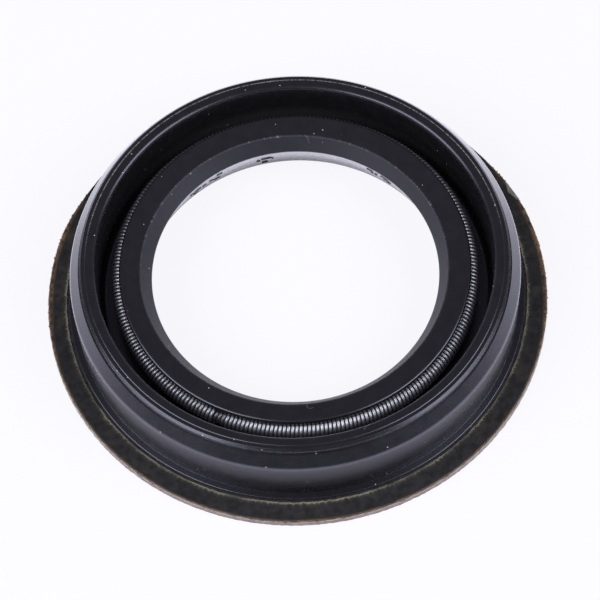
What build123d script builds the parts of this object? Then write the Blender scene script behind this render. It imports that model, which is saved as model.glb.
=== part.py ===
from build123d import *
from math import pi, radians, tan
import os

# Radial shaft seal with an outside flange, lying flange down with its spring side up.
# A stamped steel case carries a rubber body moulded round it, and a garter spring
# sits in the groove round the sealing lip. Everything is turned about Z, so each
# section is drawn in the XZ plane as (radius, height). Millimetres. The origin is
# on the shaft axis, at the flange's underside.

# What the seal fits
shaft_diameter = 40.0
section_width = 10.0  # from the shaft to the housing bore
lip_interference = 1.4  # the free lip is this much under the shaft, on diameter
press_allowance = 0.3  # the rubber is this much over the bore, on diameter

# Steel case: flanged outwards, folded back inside its own wall, then turned inwards
# as the web that carries the lip
sheet = 1.2
flange_width = 4.2  # from the bore's edge to the flange's rim
bend_radius = 0.6  # inside the two bends
fold_gap = 0.2  # between the two walls
web_height = 1.0  # underside of the web
edge_rounding = 0.3  # left by blanking on the flange's upper edge
shut_off_width = 0.3  # the mould's edge bites the flange just outside the rubber
shut_off_depth = 0.08

# Rubber outside, rim and channel
seal_height = 11.1
outer_cover = 0.65  # over the case's outer wall
inner_cover = 0.35  # over its inner wall
rim_cover = 1.5  # over the fold
floor_cover = 0.6  # over the web
floor_fillet = 0.8
underside_recess = 0.3  # the rubber stands back this far from the flange's underside
lead_in_length = 1.85  # taper that enters the bore first
lead_in_angle = 38.8  # from the axis
lead_in_edge = 1.0
foot_width = 0.9  # the rubber spreads this far over the flange
foot_thickness = 0.25
foot_fillet = 0.2
foot_edge_radius = 0.12
trim_groove_width = 0.65  # where the flash was trimmed off the rim
trim_groove_depth = 0.15
trim_flank = 0.15  # width of the groove's steep inner side
crest_height = 0.75  # the crest stands this far over the lead-in taper
crest_step = 0.2  # and its outer side leans out this far
crest_rounding = 0.15
rim_fall = 0.15  # the rim's inner edge lies this far under its crest
rim_edge_radius = 0.4

# Sealing lip
lip_height = 6.3
lip_land = 0.2  # band that runs on the shaft
air_side_angle = 20.0  # from the axis, under the lip
oil_side_angle = 33.5  # from the axis, over the lip
oil_side_height = 1.9
head_slope = 12.0  # the top of the lip's head rises outwards
head_width = 4.25  # from the lip to the head's outside
head_edge_radius = 0.25
face_rounding = 0.2  # where the oil side meets the head's top
heel_drop = 1.7  # from the spring's centre to the head's lower edge
neck_thickness = 1.4
web_edge_cover = 1.5  # from the air side's lower edge to the web's

# Garter spring
wire_diameter = 0.535
coil_diameter = 2.4
coil_sides = 6  # each turn is this many flats round the coil
valley_depth = 0.16  # between one turn and the next
spring_rise = 0.2  # the coil's centre lies this far over the lip
spring_seat = 0.05  # and this far inside the head's outside
groove_clearance = 0.05

# Radii and heights that follow
lip_radius = (shaft_diameter - lip_interference) / 2
bore_radius = shaft_diameter / 2 + section_width
body_radius = bore_radius + press_allowance / 2
flange_radius = bore_radius + flange_width
foot_radius = body_radius + foot_width

outer_wall = body_radius - outer_cover - sheet / 2  # to the middle of the sheet
fold_radius = (sheet + fold_gap) / 2
inner_wall = outer_wall - 2 * fold_radius
fold_height = seal_height - rim_cover - sheet / 2 - fold_radius
bend_middle = bend_radius + sheet / 2

root_radius = lip_radius + (lip_height - underside_recess) * tan(radians(air_side_angle))
web_radius = root_radius + web_edge_cover
head_radius = lip_radius + head_width
spring_radius = head_radius - spring_seat
spring_height = lip_height + spring_rise

# Steel case: the middle line of the strip, given the sheet's thickness and turned
with BuildPart() as steel_case:
    with BuildSketch(Plane.XZ) as case_section:
        with BuildLine():
            FilletPolyline(
                (flange_radius, sheet / 2),
                (outer_wall, sheet / 2),
                (outer_wall, fold_height),
                radius=bend_middle,
            )
            CenterArc((outer_wall - fold_radius, fold_height), fold_radius, 0, 180)
            FilletPolyline(
                (inner_wall, fold_height),
                (inner_wall, web_height + sheet / 2),
                (web_radius, web_height + sheet / 2),
                radius=bend_middle,
            )
        trace(line_width=sheet)
        upper_edge = case_section.vertices().sort_by_distance((flange_radius, sheet))[0]
        fillet(upper_edge, edge_rounding)
        with Locations((foot_radius, sheet)):
            Rectangle(
                shut_off_width,
                shut_off_depth,
                align=(Align.MIN, Align.MAX),
                mode=Mode.SUBTRACT,
            )
    revolve(axis=Axis.Z)
steel_case.part.label = "steel_case"

# Rubber body: its outline as (radius, height) and the rounding of each corner. The
# line from the foot to the underside runs inside the steel, which is then taken out.
lip_top = lip_height + lip_land / 2
lip_bottom = lip_height - lip_land / 2
face_radius = lip_radius + oil_side_height * tan(radians(oil_side_angle))
face_height = lip_top + oil_side_height
head_top = face_height + (head_radius - face_radius) * tan(radians(head_slope))
heel_height = spring_height - heel_drop
floor_height = web_height + sheet + floor_cover
undercut_radius = (heel_height - floor_height) / 2
neck_height = floor_height + undercut_radius
neck_radius = (
    lip_radius + (lip_height - neck_height) * tan(radians(air_side_angle)) + neck_thickness
)
channel_radius = inner_wall - sheet / 2 - inner_cover
lead_in_radius = body_radius - lead_in_length * tan(radians(lead_in_angle))
lead_in_top = seal_height - crest_height
crest_radius = lead_in_radius - crest_step
trim_radius = crest_radius - trim_groove_width
rim_edge_height = seal_height - rim_fall
foot_top = sheet + foot_thickness

undercut_middle = (neck_radius + undercut_radius, neck_height)
rubber_corners = [
    ((channel_radius, floor_height), floor_fillet),
    ((channel_radius, rim_edge_height), rim_edge_radius),
    ((trim_radius, seal_height), 0),
    ((trim_radius + trim_flank, seal_height - trim_groove_depth), 0),
    ((crest_radius, seal_height), crest_rounding),
    ((lead_in_radius, lead_in_top), 0),
    ((body_radius, lead_in_top - lead_in_length), lead_in_edge),
    ((body_radius, foot_top), foot_fillet),
    ((foot_radius, foot_top), foot_edge_radius),
    ((foot_radius, sheet / 2), 0),
    ((outer_wall + bend_radius, underside_recess), 0),
    ((root_radius, underside_recess), 0),
    ((lip_radius, lip_bottom), 0),
    ((lip_radius, lip_top), 0),
    ((face_radius, face_height), face_rounding),
    ((head_radius, head_top), head_edge_radius),
    ((head_radius, heel_height), 0),
]

with BuildPart() as rubber_body:
    with BuildSketch(Plane.XZ) as rubber_section:
        with BuildLine():
            undercut = CenterArc(undercut_middle, undercut_radius, 90, 180)
            FilletPolyline(
                undercut @ 1,
                *[corner for corner, rounding in rubber_corners],
                undercut @ 0,
                radius=[rounding for corner, rounding in rubber_corners],
            )
        make_face()
        with Locations((spring_radius, spring_height)):
            Circle(coil_diameter / 2 + groove_clearance, mode=Mode.SUBTRACT)
    revolve(axis=Axis.Z)
    add(steel_case.part, mode=Mode.SUBTRACT)
rubber_body.part.label = "rubber_body"

# Garter spring: half the ring is lofted through its turns, ridge and valley in turn,
# and mirrored. The turns touch, so their number follows from the wire.
half_turns = round(pi * spring_radius / wire_diameter)

with BuildPart() as garter_spring:
    for station in range(2 * half_turns + 1):
        is_ridge = station % 2 == 1
        round_the_axis = 90 * station / half_turns
        with BuildSketch(Plane.XZ.rotated((0, 0, round_the_axis))):
            with Locations((spring_radius, spring_height)):
                RegularPolygon(
                    coil_diameter / 2 - (0 if is_ridge else valley_depth), coil_sides
                )
    loft(ruled=True)
    mirror(about=Plane.XZ)
garter_spring.part.label = "garter_spring"

os.makedirs("parts", exist_ok=True)
export_step(steel_case.part, "parts/steel_case.step")
export_step(rubber_body.part, "parts/rubber_body.step")
export_step(garter_spring.part, "parts/garter_spring.step")
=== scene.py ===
import math

import bpy
from mathutils import Matrix, Vector


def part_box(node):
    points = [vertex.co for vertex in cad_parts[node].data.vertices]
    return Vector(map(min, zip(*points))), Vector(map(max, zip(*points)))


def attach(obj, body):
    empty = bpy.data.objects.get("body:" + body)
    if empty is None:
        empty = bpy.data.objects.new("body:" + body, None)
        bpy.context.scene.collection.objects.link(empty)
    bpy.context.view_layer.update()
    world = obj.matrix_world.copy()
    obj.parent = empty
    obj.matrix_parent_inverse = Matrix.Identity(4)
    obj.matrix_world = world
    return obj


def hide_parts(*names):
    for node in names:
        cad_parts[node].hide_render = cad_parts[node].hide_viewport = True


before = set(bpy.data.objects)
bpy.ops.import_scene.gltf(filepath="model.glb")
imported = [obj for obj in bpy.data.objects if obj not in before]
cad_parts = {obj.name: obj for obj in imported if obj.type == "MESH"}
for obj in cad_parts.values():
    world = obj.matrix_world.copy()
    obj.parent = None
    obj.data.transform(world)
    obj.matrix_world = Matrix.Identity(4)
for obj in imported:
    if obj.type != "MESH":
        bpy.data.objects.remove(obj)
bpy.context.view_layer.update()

# --- Steel case ---------------------------------------------------------------
# One ring pressed from 1.2 mm strip: a flange outwards, a wall folded back inside itself
# and a web inwards. It is phosphated and coated with bonding agent before the rubber is
# moulded on, and its flange is sheared to size last, which leaves the edge bare and torn.

MM = 0.001


class Socket:
    """A node's output. Python's operators on it add Math nodes to its tree."""

    def __init__(self, nodes, output):
        self.nodes, self.output = nodes, output

    def maths(self, operation, *values):
        return self.nodes.node("ShaderNodeMath", {"operation": operation}, dict(enumerate(values)))

    def __add__(self, other):
        return self.maths("ADD", self, other)

    def __radd__(self, other):
        return self.maths("ADD", other, self)

    def __sub__(self, other):
        return self.maths("SUBTRACT", self, other)

    def __rsub__(self, other):
        return self.maths("SUBTRACT", other, self)

    def __mul__(self, other):
        return self.maths("MULTIPLY", self, other)

    def __rmul__(self, other):
        return self.maths("MULTIPLY", other, self)

    def __truediv__(self, other):
        return self.maths("DIVIDE", self, other)

    def __pow__(self, other):
        return self.maths("POWER", self, other)

    def __gt__(self, other):
        return self.maths("GREATER_THAN", self, other)

    def __lt__(self, other):
        return self.maths("LESS_THAN", self, other)

    def __abs__(self):
        return self.maths("ABSOLUTE", self)


class Nodes:
    """A node tree that is written as expressions."""

    def __init__(self, tree):
        self.tree = tree

    def node(self, kind, settings=None, sockets=None, output=0):
        """Adds a node: its type, its settings, then the values or links of its sockets."""
        made = self.tree.nodes.new(kind)
        for name, value in (settings or {}).items():
            setattr(made, name, value)
        for name, value in (sockets or {}).items():
            links = value if isinstance(value, list) else [value]
            for link in links:
                if isinstance(link, Socket):
                    self.tree.links.new(link.output, made.inputs[name])
                else:
                    made.inputs[name].default_value = link
        return Socket(self, made.outputs[output]) if made.outputs else None

    def sine(self, angle):
        return angle.maths("SINE", angle)

    def cosine(self, angle):
        return angle.maths("COSINE", angle)

    def point(self, x, y, z):
        return self.node("ShaderNodeCombineXYZ", None, {0: x, 1: y, 2: z})

    def component(self, vector, axis):
        """A vector's X, Y or Z."""
        return self.node("ShaderNodeSeparateXYZ", None, {0: vector}, axis)

    def polar(self, place):
        """A place's distance from the axis, its bearing round it and its height."""
        x, y, height = (self.component(place, axis) for axis in "XYZ")
        return (x * x + y * y) ** 0.5, x.maths("ARCTAN2", y, x), height

    def round_axis(self, radius, bearing, height):
        """The place at a distance from the axis, a bearing round it and a height."""
        return self.point(radius * self.cosine(bearing), radius * self.sine(bearing), height)

    def step(self, value, start, end):
        """0 at start and 1 at end, eased between them."""
        settings = {"interpolation_type": "SMOOTHSTEP"}
        return self.node("ShaderNodeMapRange", settings, {0: value, 1: start, 2: end})

    def band(self, value, low, high, soft):
        """1 between low and high, fading over soft on both sides."""
        return self.step(value, low - soft, low + soft) * self.step(value, high + soft, high - soft)

    def noise(self, where, size, detail=2.0):
        """Noise from 0 to 1, whose lumps are about size across."""
        sockets = {"Vector": where, "Scale": 1 / size, "Detail": detail}
        return self.node("ShaderNodeTexNoise", None, sockets)


class Shader(Nodes):
    """A material's tree, with the places on a turned piece as ready sockets."""

    def __init__(self, name):
        self.material = bpy.data.materials.new(name)
        self.material.use_nodes = True
        super().__init__(self.material.node_tree)
        self.tree.nodes.clear()
        self.place = self.node("ShaderNodeTexCoord", None, None, "Object")
        self.radius, self.bearing, self.height = self.polar(self.place)

    def around(self, size, depth=0.0):
        """Noise along the bearing that runs on unchanged towards the axis, save by depth."""
        ring = 30 * MM
        where = self.round_axis(ring, self.bearing, (self.radius + self.height) * depth)
        return self.noise(where, size, 3.0)

    def polar_from(self, x, y):
        """Distance from the upright line through (x, y), and the bearing round it."""
        middle = (x, y, 0)
        away = self.node("ShaderNodeVectorMath", {"operation": "SUBTRACT"}, {0: self.place, 1: middle})
        return self.polar(away)[:2]

    def mix(self, factor, first, second):
        """One colour into another."""
        return self.node("ShaderNodeMix", {"data_type": "RGBA"}, {0: factor, 6: first, 7: second}, 2)

    def bump(self, height, depth):
        return self.node("ShaderNodeBump", None, {"Height": height, "Distance": depth, "Strength": 1.0})

    def finish(self, **sockets):
        sockets = {name.replace("_", " "): value for name, value in sockets.items()}
        surface = self.node("ShaderNodeBsdfPrincipled", None, sockets)
        self.node("ShaderNodeOutputMaterial", None, {0: surface})
        return self.material


class Maker(Nodes):
    """A Geometry Nodes tree with named inputs, run on one object and kept as a plain mesh."""

    KINDS = {float: "NodeSocketFloat", int: "NodeSocketInt"}

    def __init__(self, name, sizes, material):
        super().__init__(bpy.data.node_groups.new(name, "GeometryNodeTree"))
        self.sizes, self.material = sizes, material
        self.tree.interface.new_socket("Geometry", in_out="INPUT", socket_type="NodeSocketGeometry")
        for label, value in sizes.items():
            made = self.tree.interface.new_socket(label, in_out="INPUT", socket_type=self.KINDS[type(value)])
            made.default_value = value
        self.tree.interface.new_socket("Geometry", in_out="OUTPUT", socket_type="NodeSocketGeometry")
        self.start = self.tree.nodes.new("NodeGroupInput")

    def __getitem__(self, label):
        return Socket(self, self.start.outputs[label])

    def place(self):
        return self.node("GeometryNodeInputPosition")

    def make(self, shape, name, corners=(), edges=(), roundings=()):
        """Ends the tree, runs it on an outline of corners and returns the mesh as an object."""
        smooth = self.node("GeometryNodeSetShadeSmooth", None, {0: shape})
        sharp = self.node("GeometryNodeInputMeshEdgeAngle") > self["Crease Angle"]
        edged = self.node(
            "GeometryNodeStoreNamedAttribute",
            {"data_type": "BOOLEAN", "domain": "EDGE"},
            {0: smooth, "Name": "sharp_edge", "Value": sharp},
        )
        whole = self.node("GeometryNodeRealizeInstances", None, {0: edged})
        coated = self.node("GeometryNodeSetMaterial", None, {0: whole, "Material": self.material})
        self.node("NodeGroupOutput", None, {0: coated})
        outline = bpy.data.meshes.new(name + "_outline")
        outline.from_pydata([(x, y, 0) for x, y in corners], edges, [])
        if roundings:
            kept = outline.attributes.new("rounding", "FLOAT", "POINT")
            kept.data.foreach_set("value", roundings)
        source = bpy.data.objects.new(name + "_outline", outline)
        bpy.context.scene.collection.objects.link(source)
        modifier = source.modifiers.new(name, "NODES")
        modifier.node_group = self.tree
        for item in self.tree.interface.items_tree:
            if item.name in self.sizes:
                modifier[item.identifier] = self.sizes[item.name]
        seen = source.evaluated_get(bpy.context.evaluated_depsgraph_get())
        mesh = bpy.data.meshes.new_from_object(seen)
        source.modifiers.clear()
        bpy.data.objects.remove(source)
        mesh.name = name
        piece = bpy.data.objects.new(name, mesh)
        bpy.context.scene.collection.objects.link(piece)
        return piece


def turned(maker):
    """The ring that a closed section gives, with each corner rounded by its own radius."""
    line = maker.node("GeometryNodeMeshToCurve", None, {0: maker["Geometry"]})
    rounding = maker.node("GeometryNodeInputNamedAttribute", {"data_type": "FLOAT"}, {0: "rounding"})
    rounded = maker.node(
        "GeometryNodeFilletCurve",
        {"mode": "POLY"},
        {"Curve": line, "Count": maker["Points per Corner"], "Radius": rounding, "Limit Radius": True},
    )
    inwards = maker.point(0 - maker["Path Radius"], 0.0, 0.0)
    section = maker.node(
        "GeometryNodeTransform", None, {"Geometry": rounded, "Translation": inwards, "Scale": (1, -1, 1)}
    )
    path = maker.node(
        "GeometryNodeCurvePrimitiveCircle",
        None,
        {"Resolution": maker["Segments"], "Radius": maker["Path Radius"]},
    )
    ring = maker.node("GeometryNodeCurveToMesh", None, {0: path, 1: section})
    return maker.node("GeometryNodeMergeByDistance", None, {"Geometry": ring, "Distance": 0.001 * MM})


def section_mesh(maker, shape, name, corners):
    """Runs a turning tree on (radius, height, rounding) corners in mm."""
    count = len(corners)
    return maker.make(
        shape,
        name,
        [(radius * MM, height * MM) for radius, height, rounding in corners],
        [(i, (i + 1) % count) for i in range(count)],
        [rounding * MM for radius, height, rounding in corners],
    )


SHEET, FLANGE = 1.2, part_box("steel_case")[1].x / MM
WALL_OUT, WALL_IN, BEND, FOLD_TOP = 29.5, 26.9, 0.6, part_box("steel_case")[1].z / MM
FOLD = (WALL_OUT - WALL_IN) / 2
SLIT_OUT, SLIT_IN = WALL_OUT - SHEET, WALL_IN + SHEET
WEB_EDGE, WEB_UNDERSIDE = 22.984, 1.0
UPPER_ROUNDING, LOWER_ROUNDING, END_ROUNDING = 0.3, 0.08, 0.1
TRIM_START, TRIM_FULL = FLANGE - 0.9, FLANGE - 0.3
EDGE_RINGS = (0.7, 0.5, 0.3)  # heights of the extra rings that let the edge tear
FOOT, BITE_WIDTH, BITE_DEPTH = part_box("rubber_body")[1].x / MM, 0.3, 0.08
case_section = [
    (FLANGE, 0, LOWER_ROUNDING),
    (SLIT_OUT, 0, BEND + SHEET),
    (SLIT_OUT, FOLD_TOP - SHEET, END_ROUNDING),
    (SLIT_IN, FOLD_TOP - SHEET, END_ROUNDING),
    (SLIT_IN, WEB_UNDERSIDE, BEND + SHEET),
    (WEB_EDGE, WEB_UNDERSIDE, 0),
    (WEB_EDGE, WEB_UNDERSIDE + SHEET, 0),
    (WALL_IN, WEB_UNDERSIDE + SHEET, BEND),
    (WALL_IN, FOLD_TOP, FOLD),
    (WALL_OUT, FOLD_TOP, FOLD),
    (WALL_OUT, SHEET, BEND),
    (FOOT, SHEET, 0),
    (FOOT, SHEET - BITE_DEPTH, 0),
    (FOOT + BITE_WIDTH, SHEET - BITE_DEPTH, 0),
    (FOOT + BITE_WIDTH, SHEET, 0),
    (TRIM_START, SHEET, 0),
    (FLANGE, SHEET, UPPER_ROUNDING),
    *[(FLANGE, height, 0) for height in EDGE_RINGS],
]

# Radii where the pale fringe, the rust, the bare edge and a scar start, and the scar's bearing
FRINGE, RUST, BARE, SCAR, SCAR_BEARING = 31.33, 33.6, 33.7, 33.05, 24
# The rim was sheared off centre, with flat places (bearing, depth) and two rows of burrs
# (bearing, spread, seed) between two heights
CUT_X, CUT_Y = 0.06, -0.13
FLATS, FLAT_REACH = ((38, 0.46), (142, 0.5)), math.radians(10)
BURR_ROWS, BURR_LOW, BURR_HIGH = ((12, 25, 3), (165, 20, 8)), 0.75, 1.1

steel = Shader("phosphated_steel")
fine, coarse = steel.noise(steel.place, 0.12 * MM), steel.noise(steel.place, 0.9 * MM, 4.0)
patches = steel.noise(steel.place, 3 * MM, 3.0)
streaks, wander = steel.around(0.35 * MM, 0.15), steel.around(1.6 * MM)
coating = steel.step(coarse, 0.3, 0.7)
coating = steel.mix(coating, (0.0012, 0.001, 0.003, 1), (0.0085, 0.0072, 0.0105, 1))
olive = steel.step(patches, 0.45, 0.7) * steel.step(coarse, 0.3, 0.6)
olive = olive * (0.35 + 0.65 * steel.step(steel.sine(steel.bearing), -0.9, -0.2))
coating = steel.mix(olive, coating, (0.022, 0.0185, 0.013, 1))
fringe_start = (FRINGE + (streaks - 0.5) * 0.3 + (wander - 0.5) * 0.3) * MM
fringe_full = fringe_start + 0.05 * MM
fringe_end = fringe_start + (0.1 + streaks * 0.65) * MM
haze_end = fringe_start + (0.4 + streaks * 0.9) * MM
fringe = steel.step(steel.radius, fringe_start, fringe_full)
haze = fringe * steel.step(steel.radius, haze_end, fringe_start)
coating = steel.mix(haze * steel.step(fine, 0.3, 0.7) * 0.5, coating, (0.08, 0.075, 0.055, 1))
fringe = fringe * steel.step(steel.radius, fringe_end, fringe_full)
fringe = fringe * (0.3 + steel.step(patches, 0.35, 0.6) * 0.7) * steel.step(fine, 0.3, 0.62)
coating = steel.mix(fringe * 0.9, coating, (0.27, 0.25, 0.195, 1))
rim = steel.polar_from(CUT_X * MM, CUT_Y * MM)[0]
rusty = steel.step(steel.sine(steel.bearing), -0.55, 0.1)
brown_start = (RUST - rusty * 0.42 + (coarse - 0.5) * 1.1) * MM
brown = steel.step(rim, brown_start, brown_start + 0.3 * MM)
brown_tone = steel.step(coarse + (fine - 0.5) * 0.6, 0.35, 0.65)
brown_tone = steel.mix(brown_tone, (0.03, 0.018, 0.01, 1), (0.16, 0.092, 0.048, 1))
coating = steel.mix(brown * (0.45 + steel.step(patches, 0.35, 0.6) * 0.5), coating, brown_tone)
off_scar = abs(steel.bearing - math.radians(SCAR_BEARING))
scar = steel.radius - SCAR * MM - off_scar * 12 * MM
scar = steel.step(scar, 0.0, 0.05 * MM) * (coarse * 0.8 + 0.3)
coating = steel.mix(scar, coating, (0.22, 0.215, 0.205, 1))
cut = steel.step(rim, BARE * MM, (BARE + 0.1) * MM)
torn = steel.around(0.7 * MM, 3.0)
bare = steel.mix(steel.step(torn, 0.3, 0.7), (0.1, 0.08, 0.083, 1), (0.2, 0.164, 0.166, 1))
# Painted shade: the bare edge is darker along its foot, where it stands on the table.
bare = steel.mix(steel.step(steel.height, 0.16 * MM, 0.06 * MM), bare, (0.06, 0.045, 0.045, 1))
bright_line = steel.band(steel.height, 0.9 * MM, 1.12 * MM, 0.08 * MM) * steel.step(torn, 0.3, 0.55)
bare = steel.mix(bright_line * 0.7, bare, (0.34, 0.28, 0.22, 1))
exposed = cut * steel.step(steel.height, (1.12 + (torn - 0.5) * 0.16) * MM, 1.05 * MM)
steel.finish(
    Base_Color=steel.mix(exposed, coating, bare),
    Roughness=0.42 + 0.2 * coarse,
    Metallic=exposed * 0.75,
    IOR=1.5,
    Normal=steel.bump(fine + coarse * 2, 0.012 * MM),
)

case_sizes = {
    "Segments": 1200,
    "Points per Corner": 4,
    "Crease Angle": math.radians(2),
    "Path Radius": 25 * MM,
    "Trim Inset": 0.18 * MM,
    "Trim Offset X": CUT_X * MM,
    "Trim Offset Y": CUT_Y * MM,
    "Tearing": 0.09 * MM,
    "Burrs": 40,
    "Burr Size": 0.11 * MM,
}
maker = Maker("pressed_ring", case_sizes, steel.material)
ring = turned(maker)
radius, bearing = maker.polar(maker.place())[:2]
edge = maker.step(radius, TRIM_START * MM, TRIM_FULL * MM)
tearing = (maker.noise(maker.place(), 0.6 * MM, 3.0) - 0.5) * maker["Tearing"] * 2


def trim(bearing):
    """How far the rim stands out at a bearing, before it is torn."""
    out = maker["Trim Offset X"] * maker.cosine(bearing) + maker["Trim Offset Y"] * maker.sine(bearing)
    for middle, depth in FLATS:
        low, high = math.radians(middle) - FLAT_REACH, math.radians(middle) + FLAT_REACH
        out = out - maker.band(bearing, low, high, FLAT_REACH) * depth * MM
    return out - maker["Trim Inset"]


def at_random(low, high, seed):
    """A value between low and high, drawn for each burr."""
    sockets = {2: low, 3: high, "Seed": seed}
    return maker.node("FunctionNodeRandomValue", {"data_type": "FLOAT"}, sockets, 1)


outwards = edge * (trim(bearing) + tearing)
outwards = maker.round_axis(outwards, bearing, 0.0)
trimmed = maker.node("GeometryNodeSetPosition", None, {"Geometry": ring, "Offset": outwards})
lumps = []
for middle, spread, seed in BURR_ROWS:
    points = maker.node("GeometryNodePoints", None, {"Count": maker["Burrs"]})
    turn = math.radians(middle) + at_random(-1.0, 1.0, seed) * math.radians(spread)
    rise = at_random(BURR_LOW * MM, BURR_HIGH * MM, seed + 1)
    position = maker.round_axis(FLANGE * MM + trim(turn), turn, rise)
    placed = maker.node("GeometryNodeSetPosition", None, {"Geometry": points, "Position": position})
    grain = maker.node("GeometryNodeMeshIcoSphere", None, {"Radius": maker["Burr Size"], "Subdivisions": 1})
    sockets = {"Points": placed, "Instance": grain, "Scale": at_random(0.4, 1.0, seed + 2)}
    lumps.append(maker.node("GeometryNodeInstanceOnPoints", None, sockets))
whole = maker.node("GeometryNodeJoinGeometry", None, {0: [trimmed, *lumps]})
case = section_mesh(maker, whole, "stamped_case", case_section)
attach(case, "root")
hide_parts("steel_case")

# --- Rubber body ---------------------------------------------------------------
# One moulding of black nitrile rubber, bonded over the case: the cover that seals in the
# housing, the lead-in taper, the trimmed rim, the channel and the lip with its spring groove.
# The lip's upper cone is cut with a knife, a little off centre, and its lower cone is marked.

BODY, SEAL_TOP = 30.15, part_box("rubber_body")[1].z / MM
FOOT_TOP = 1.45
LEAD_IN, LEAD_IN_TOP, LEAD_IN_END = 28.86, 10.105, 8.5
CREST, CREST_SIDE, CREST_SIDE_TOP, LEDGE, LEDGE_TOP = 28.36, 28.66, 10.85, 28.6, 10.14
TRIM, TRIM_FLANK, TRIM_DEPTH = 27.812, 0.08, 0.045
CHANNEL, CHANNEL_TOP, CHANNEL_FLOOR = 26.55, 10.95, 2.8
NECK, HEEL, HEAD, HEAD_TOP = 21.61, 4.8, 23.55, 8.936
LIP, LIP_LOW, LIP_HIGH = 19.3, 6.2, 6.4
FACE, FACE_HEIGHT = 20.558, 8.3
RING, RING_HEIGHT, SEAT = 23.5, 6.5, 1.25
UNDERCUT = (HEEL - CHANNEL_FLOOR) / 2
ROOT, RECESS = 21.484, 0.3
AIR_SIDE = math.atan2(ROOT - LIP, LIP_LOW - RECESS)
CONE_END = 21
FACE_SHIFT_END, LIP_SHIFT_END = 22, 4  # the radius and the height where the cut's shift ends
MARK_WIDTH = 0.3

# Where the rubber's underside meets the case's outer bend, whose arc it follows to the slit
BEND_RISE = BEND + SHEET - RECESS
BEND_REACH = math.sqrt((BEND + SHEET) ** 2 - BEND_RISE**2)
BEND_MEET = WALL_OUT + BEND - BEND_REACH
BEND_CORNER_HEIGHT = RECESS + (BEND_MEET - SLIT_OUT) * BEND_REACH / BEND_RISE
rubber_section = [
    (FOOT, SHEET, 0),
    (FOOT, FOOT_TOP, 0.17),
    (BODY, FOOT_TOP, 0.04),
    (BODY, LEAD_IN_END, 1.0),
    (LEAD_IN, LEAD_IN_TOP, 0.0),
    (LEDGE, LEDGE_TOP, 0.0),
    (CREST_SIDE, CREST_SIDE_TOP, 0.02),
    (CREST, SEAL_TOP, 0.12),
    (TRIM + TRIM_FLANK, SEAL_TOP - TRIM_DEPTH, 0),
    (TRIM, SEAL_TOP, 0),
    (CHANNEL, CHANNEL_TOP, 0.5),
    (CHANNEL, CHANNEL_FLOOR, 0.8),
    (NECK, CHANNEL_FLOOR, UNDERCUT),
    (NECK, HEEL, UNDERCUT),
    (HEAD, HEEL, 0),
    (HEAD, RING_HEIGHT - SEAT, 0),
    (RING - SEAT, RING_HEIGHT - SEAT, SEAT),
    (RING - SEAT, RING_HEIGHT + SEAT, SEAT),
    (HEAD, RING_HEIGHT + SEAT, 0),
    (HEAD, HEAD_TOP, 0.4),
    (FACE, FACE_HEIGHT, 0.04),
    (LIP, LIP_HIGH, 0),
    (LIP, LIP_LOW, 0),
    (ROOT, RECESS, 0),
    (BEND_MEET, RECESS, 0),
    (SLIT_OUT, BEND_CORNER_HEIGHT, BEND + SHEET),
    *case_section[2:11],
]

rubber = Shader("black_rubber")
mottle, grain = rubber.noise(rubber.place, 1.5 * MM, 4.0), rubber.noise(rubber.place, 0.1 * MM)
tone = rubber.mix(mottle, (0.005, 0.005, 0.006, 1), (0.010, 0.010, 0.012, 1))
# Painted light: low in the channel, on its floor and walls, the rubber is painted lighter, standing in for
# light that reaches into the recess.
painted_channel_light = rubber.band(rubber.radius, (HEAD + 0.2) * MM, (CHANNEL + 0.2) * MM, 0.15 * MM)
painted_channel_light = painted_channel_light * rubber.step(rubber.height, 7 * MM, 4.5 * MM)
tone = rubber.mix(painted_channel_light * 0.9, tone, (0.026, 0.026, 0.03, 1))
torn = rubber.around(0.3 * MM)
crease = rubber.radius + (torn - 0.5) * 0.08 * MM
crease = rubber.band(crease, (TRIM - 0.02) * MM, (TRIM + 0.12) * MM, 0.05 * MM)
crease = crease * rubber.step(rubber.height, (SEAL_TOP - 0.3) * MM, (SEAL_TOP - 0.2) * MM)
on_cone = rubber.radius < CONE_END * MM
cut_edge = rubber.band(rubber.height, (FACE_HEIGHT - 0.08) * MM, (FACE_HEIGHT + 0.03) * MM, 0.03 * MM)
cut_edge = cut_edge * on_cone
# The torn trim line and its chips are real marks; painted highlight: they are shown in full only on the far
# half of the ring, where light catches them, and fade almost away on the near half.
painted_far_highlight = 0.03 + 0.97 * rubber.step(rubber.sine(rubber.bearing), 0.0, 0.5)
tone = rubber.mix(crease * rubber.step(torn, 0.3, 0.65) * painted_far_highlight, tone, (0.22, 0.21, 0.22, 1))
tone = rubber.mix(cut_edge * rubber.step(torn, 0.3, 0.65), tone, (0.035, 0.034, 0.042, 1))
chips = (crease + cut_edge) * rubber.step(rubber.around(0.13 * MM), 0.64, 0.7)
tone = rubber.mix(chips * painted_far_highlight, tone, (0.6, 0.59, 0.58, 1))
cell = {"Vector": rubber.place, "Scale": 1 / (1.3 * MM)}
distance = rubber.node("ShaderNodeTexVoronoi", None, cell, "Distance")
chance = rubber.node("ShaderNodeTexVoronoi", None, cell, "Color")
chance = rubber.node("ShaderNodeSeparateColor", None, {0: chance}, 0)
dust = (distance < 0.065) * (chance > 0.6)
tone = rubber.mix(dust * 0.7, tone, (0.55, 0.54, 0.53, 1))
HAIRS = (  # an arc's middle, its first and last bearing and its radius
    ((0.8, -21.0), 150, 320, 0.45),
    ((1.9, 19.4), 10, 60, 1.2),
    ((9.5, -27.4), 95, 150, 2.4),
)
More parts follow.
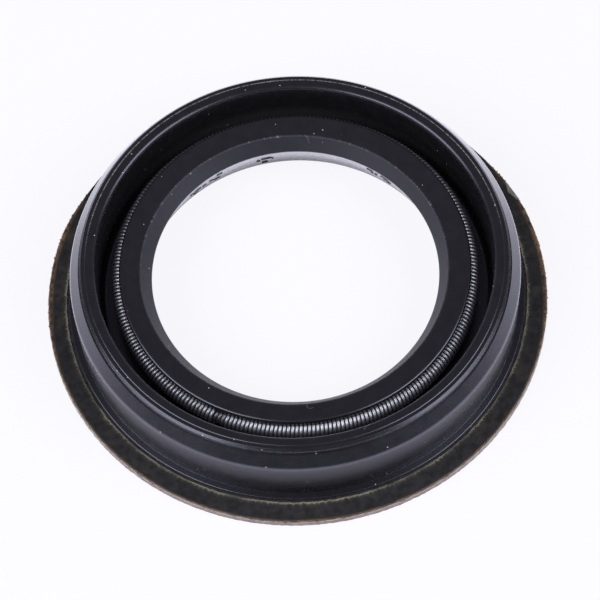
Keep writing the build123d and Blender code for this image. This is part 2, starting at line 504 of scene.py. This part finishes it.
for (x, y), start, end, reach in HAIRS:
    off, turn = rubber.polar_from(x * MM, y * MM)
    turn = turn.maths("WRAP", turn, math.tau, 0.0)
    hair = rubber.band(off, (reach - 0.03) * MM, (reach + 0.03) * MM, 0.02 * MM)
    hair = hair * rubber.band(turn, math.radians(start), math.radians(end), 0.05)
    tone = rubber.mix(hair * 0.6, tone, (0.16, 0.155, 0.16, 1))
knife_cut = rubber.band(rubber.height, (LIP_HIGH + 0.05) * MM, (FACE_HEIGHT + 0.02) * MM, 0.03 * MM)
knife_cut = knife_cut * on_cone
outer_wall = rubber.band(rubber.radius, WALL_OUT * MM, (BODY + 0.15) * MM, 0.1 * MM)
outer_wall = outer_wall * rubber.step(rubber.height, 3 * MM, 6 * MM)
outer_wall = outer_wall * rubber.step(rubber.height, 8.9 * MM, 8.2 * MM)
glance = rubber.node("ShaderNodeLayerWeight", None, {0: 0.5}, "Facing")
rubber.finish(
    Base_Color=tone,
    Roughness=0.23 + 0.08 * mottle + knife_cut * 0.24 + outer_wall * 0.18,
    IOR=1.65,
    Specular_Tint=(0.78, 0.77, 1.0, 1),
    Coat_Weight=rubber.step(glance, 0.55, 0.9) * (1 - knife_cut),
    Coat_Roughness=0.3,
    Coat_IOR=2.0,
    Coat_Tint=(0.9, 0.9, 1.0, 1),
    Normal=rubber.bump(grain + mottle, 0.0025 * MM),
)
rubber_sizes = {
    "Segments": 600,
    "Points per Corner": 6,
    "Crease Angle": math.radians(2),
    "Path Radius": 25 * MM,
    "Cut Offset X": -0.12 * MM,
    "Cut Offset Y": -0.2 * MM,
    "Mark Height": 0.22 * MM,
}
maker = Maker("moulded_ring", rubber_sizes, rubber.material)
ring = turned(maker)
radius, bearing, height = maker.polar(maker.place())
face = maker.step(height, LIP_HIGH * MM, FACE_HEIGHT * MM)
face = face * maker.step(radius, FACE_SHIFT_END * MM, FACE * MM)
lip = maker.step(height, LIP_SHIFT_END * MM, LIP_LOW * MM)
lip = lip * maker.step(radius, CONE_END * MM, LIP * MM)
shift = maker.point(face * maker["Cut Offset X"], (face + lip) * 0.5 * maker["Cut Offset Y"], 0.0)
moved = maker.node("GeometryNodeSetPosition", None, {"Geometry": ring, "Offset": shift})


def mark(bearing, height, length):
    """A raised bar on the lip's lower cone."""
    radius = LIP + (LIP_LOW - height) * math.tan(AIR_SIDE)
    turn = math.radians(bearing)
    size = maker.point(length * MM, MARK_WIDTH * MM, maker["Mark Height"] * 2)
    bar = maker.node("GeometryNodeMeshCube", None, {"Size": size})
    sockets = {
        "Geometry": bar,
        "Translation": (radius * math.cos(turn) * MM, radius * math.sin(turn) * MM, height * MM),
        "Rotation": (-math.pi / 2 - AIR_SIDE, 0, turn + math.pi / 2),
    }
    return maker.node("GeometryNodeTransform", None, sockets)


marks = []
for bearing, height, length in (
    (98.6, 3.9, 1.5),
    (101.7, 3.3, 0.5),
    (96.3, 3.4, 0.4),
    (99.0, 1.9, 0.8),
    (119.0, 4.7, 0.9),
    (119.4, 2.7, 1.1),
    (122.3, 3.5, 0.6),
    (125.4, 3.3, 0.45),
    (125.4, 2.9, 0.5),
    (129.2, 3.7, 1.1),
    (129.6, 2.7, 0.8),
    (132.5, 3.7, 0.5),
    (55.3, 5.1, 0.9),
    (55.0, 4.0, 0.5),
    (53.0, 4.1, 0.4),
    (48.2, 5.1, 1.3),
    (47.8, 3.8, 1.2),
):
    marks.append(mark(bearing, height, length))
whole = maker.node("GeometryNodeJoinGeometry", None, {0: [moved, *marks]})
body = section_mesh(maker, whole, "moulded_rubber", rubber_section)
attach(body, "root")
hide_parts("rubber_body")

# --- Garter spring -------------------------------------------------------------
# A close-wound coil of bright drawn wire, its tapered end screwed into its other end to
# make a ring. It lies in the groove behind the lip and pulls the lip onto the shaft.

COIL, WIRE = 0.95, 0.262
wire = Shader("spring_wire")
drawn = wire.noise(wire.place, 1.2 * MM, 2.0)
wire_tone = wire.mix(drawn, (0.41, 0.41, 0.47, 1), (0.5, 0.5, 0.57, 1))
# Painted shade: each turn keeps its own tone only on its crown; the rest of the wire, in the gaps between
# turns, is painted dark, darkest on the inner side of the coil.
across, upwards = wire.radius - RING * MM, wire.height - RING_HEIGHT * MM
off_core = (across * across + upwards * upwards) ** 0.5
unshaded_crown = wire.step(off_core, (COIL + 0.18) * MM, (COIL + 0.24) * MM)
painted_flank_shade = wire.step(across, 0.4 * MM, 0.9 * MM)
painted_flank_shade = wire.mix(painted_flank_shade, (0.19, 0.19, 0.22, 1), (0.3, 0.3, 0.36, 1))
wire.finish(
    Base_Color=wire.mix(unshaded_crown, painted_flank_shade, wire_tone),
    Roughness=0.44 + 0.04 * drawn,
    Metallic=1.0,
)
spring_sizes = {
    "Crease Angle": math.radians(90),
    "Turns": 276,
    "Points per Turn": 20,
    "Wire Sides": 12,
    "Ring Radius": RING * MM,
    "Coil Radius": COIL * MM,
    "Wire Radius": WIRE * MM,
    "Height": RING_HEIGHT * MM,
    "Joint Bearing": math.radians(241.0),
    "Nib Turns": 3.0,
    "Nib Taper": 0.3,
}
maker = Maker("close_wound_ring", spring_sizes, wire.material)
count = maker["Turns"] * maker["Points per Turn"]
loop = maker.node("GeometryNodeCurvePrimitiveCircle", None, {"Resolution": count, "Radius": 1.0})
index = maker.node("GeometryNodeInputIndex")
turn = index / maker["Points per Turn"]
nib = turn.maths("MAXIMUM", 1 - turn / maker["Nib Turns"], 0.0)
coil = maker["Coil Radius"] * (1 - nib * maker["Nib Taper"])
bearing = turn / maker["Turns"] * math.tau + maker["Joint Bearing"]
out = maker["Ring Radius"] + coil * maker.cosine(turn * math.tau)
rise = maker["Height"] + coil * maker.sine(turn * math.tau)
position = maker.round_axis(out, bearing, rise)
helix = maker.node("GeometryNodeSetPosition", None, {"Geometry": loop, "Position": position})
sockets = {"Resolution": maker["Wire Sides"], "Radius": maker["Wire Radius"]}
section = maker.node("GeometryNodeCurvePrimitiveCircle", None, sockets)
spring = maker.make(maker.node("GeometryNodeCurveToMesh", None, {0: helix, 1: section}), "coiled_spring")
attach(spring, "root")
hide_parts("garter_spring")

# --- Table, light and camera -----------------------------------------------------
# A wide white table in a pale room, with a softbox at each side. The seal stands a hair
# over the table, so that the two faces don't coincide. The camera is tilted a little.

TABLE_HALF, TABLE_TOP = 1.2, -0.02 * MM
mesh = bpy.data.meshes.new("table")
corners = [(-1, -1), (1, -1), (1, 1), (-1, 1)]
mesh.from_pydata([(x * TABLE_HALF, y * TABLE_HALF, TABLE_TOP) for x, y in corners], [], [(0, 1, 2, 3)])
table = bpy.data.objects.new("table", mesh)
bpy.context.scene.collection.objects.link(table)
white = Shader("white_table")
camera_ray = white.node("ShaderNodeLightPath", None, None, "Is Camera Ray")
glossy_ray = white.node("ShaderNodeLightPath", None, None, "Is Glossy Ray")
lit = white.node("ShaderNodeBsdfDiffuse", None, {0: (0.84, 0.83, 0.89, 1)})
plain = white.node("ShaderNodeEmission", None, {0: (0.97, 0.963, 1.0, 1), 1: 1.0})
# Painted light on the table, seen only in reflections: it glows outside the seal, faintly inside it and in a
# band under the lip, and fades out beyond about 0.2 m from a point behind the seal.
sockets = {0: white.place, 1: (0, 0.1, 0)}
behind = white.node("ShaderNodeVectorMath", {"operation": "DISTANCE"}, sockets, "Value")
inside = 0.27 * white.step(white.radius, 20.9 * MM, 20.3 * MM)
outside = white.step(white.radius, 22 * MM, 37 * MM)
under_lip = white.band(white.radius, 19.6 * MM, 20.5 * MM, 0.3 * MM)
lit_patch = (inside + outside) * white.step(behind, 0.42, 0.2) + under_lip
gleam = white.node("ShaderNodeEmission", None, {0: (0.91, 0.9, 1.0, 1), 1: glossy_ray * lit_patch})
shown = white.node("ShaderNodeAddShader", None, {0: lit, 1: gleam})
mix = white.node("ShaderNodeMixShader", None, {0: camera_ray * 0.9, 1: shown, 2: plain})
white.node("ShaderNodeOutputMaterial", None, {0: mix})
mesh.materials.append(white.material)

world = bpy.data.worlds.new("studio")
world.use_nodes = True
world.node_tree.nodes.clear()
room = Nodes(world.node_tree)
direction = room.node("ShaderNodeTexCoord", None, None, "Generated")
away, above = room.component(direction, "Y"), room.component(direction, "Z")
sweep = room.step(away, 0.35, 0.75) * room.step(above, 0.5, 0.25)
shade = room.step(away, 0.3, -0.6) * room.step(above, 0.85, 0.4)
strength = 0.17 + 0.6 * sweep - 0.06 * shade
backdrop = room.node("ShaderNodeBackground", None, {0: (0.9, 0.89, 1, 1), 1: strength})
room.node("ShaderNodeOutputWorld", None, {0: backdrop})
bpy.context.scene.world = world


def softbox(name, bearing, elevation, distance, width, height, power):
    """An area light that faces the seal."""
    lamp = bpy.data.lights.new(name, "AREA")
    lamp.shape = "RECTANGLE"
    lamp.size, lamp.size_y = width, height
    lamp.energy = power
    bearing, elevation = math.radians(bearing), math.radians(elevation)
    box = bpy.data.objects.new(name, lamp)
    box.location = Vector((
        math.cos(bearing) * math.cos(elevation),
        math.sin(bearing) * math.cos(elevation),
        math.sin(elevation),
    )) * distance
    box.rotation_euler = (-box.location).to_track_quat("-Z", "Y").to_euler()
    bpy.context.scene.collection.objects.link(box)


softbox("left_softbox", bearing=206, elevation=42, distance=0.6, width=0.57, height=0.42, power=4.0)
softbox("right_softbox", bearing=339, elevation=42, distance=0.6, width=0.46, height=0.42, power=3.2)

elevation, roll = math.radians(61.342), math.radians(-3.781)
frame_unit = 34 * MM
distance, side_step, drop = 9.23 * frame_unit, 0.0132 * frame_unit, 0.028 * frame_unit
back = Vector((0, -math.cos(elevation), math.sin(elevation)))
level_right = Vector((1, 0, 0))
level_up = back.cross(level_right)
right = math.cos(roll) * level_right + math.sin(roll) * level_up
up = math.cos(roll) * level_up - math.sin(roll) * level_right
lens = bpy.data.cameras.new("camera")
lens.lens, lens.sensor_width = 137.88, 36
lens.clip_start, lens.clip_end = 0.01, 10
camera = bpy.data.objects.new("camera", lens)
aim_height = 0.54 * MM
aim = Vector((0, 0, aim_height))
camera.location = aim + distance * back + side_step * right - drop * up
camera.rotation_euler = Matrix((right, up, back)).transposed().to_euler()
bpy.context.scene.collection.objects.link(camera)
bpy.context.scene.camera = camera
bpy.context.scene.view_settings.view_transform = "Standard"
